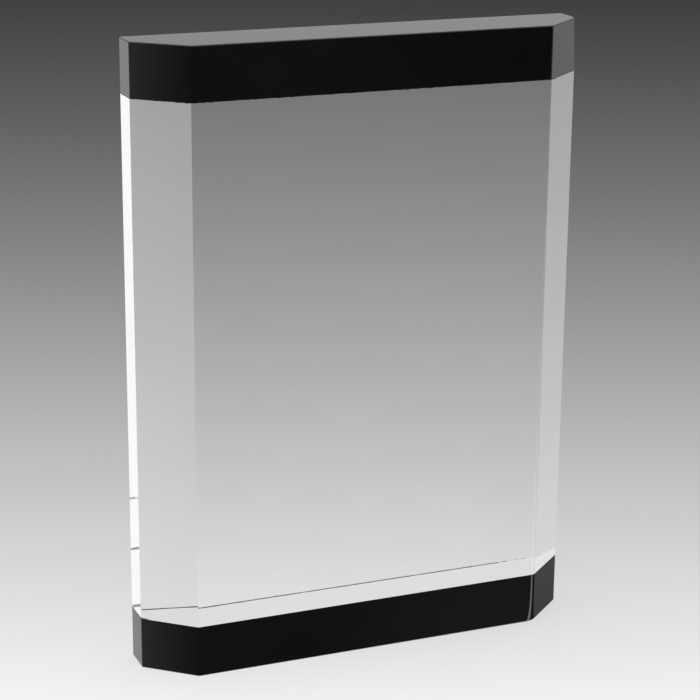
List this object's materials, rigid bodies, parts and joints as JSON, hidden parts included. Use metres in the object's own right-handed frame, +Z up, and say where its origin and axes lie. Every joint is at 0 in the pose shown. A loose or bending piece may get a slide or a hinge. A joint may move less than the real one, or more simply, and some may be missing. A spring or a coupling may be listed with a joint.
{
  "type": "acrylic photo frame",
  "caption": "Free-standing photo frame: a thick clear acrylic block, bevelled down both front corners, bonded between a black top bar and a black bottom bar.",
  "frame": {"origin": "on the surface that the frame stands on, under the middle of its width and depth", "axes": "+Z up along the height, +X along the width to the viewer's right, +Y from the front towards the back, so the window and the bevels face -Y"},
  "size_m": [0.159, 0.025, 0.216],
  "materials": {
    "clear_acrylic": "polished",
    "black_acrylic": "polished",
    "acrylic_cement": "gloss"
  },
  "bodies": {
    "root": {"clear_block": "clear_acrylic", "top_bar": "black_acrylic", "bottom_bar": "black_acrylic", "top_cement_bead": "acrylic_cement", "bottom_cement_bead": "acrylic_cement"}
  },
  "joints": []
}
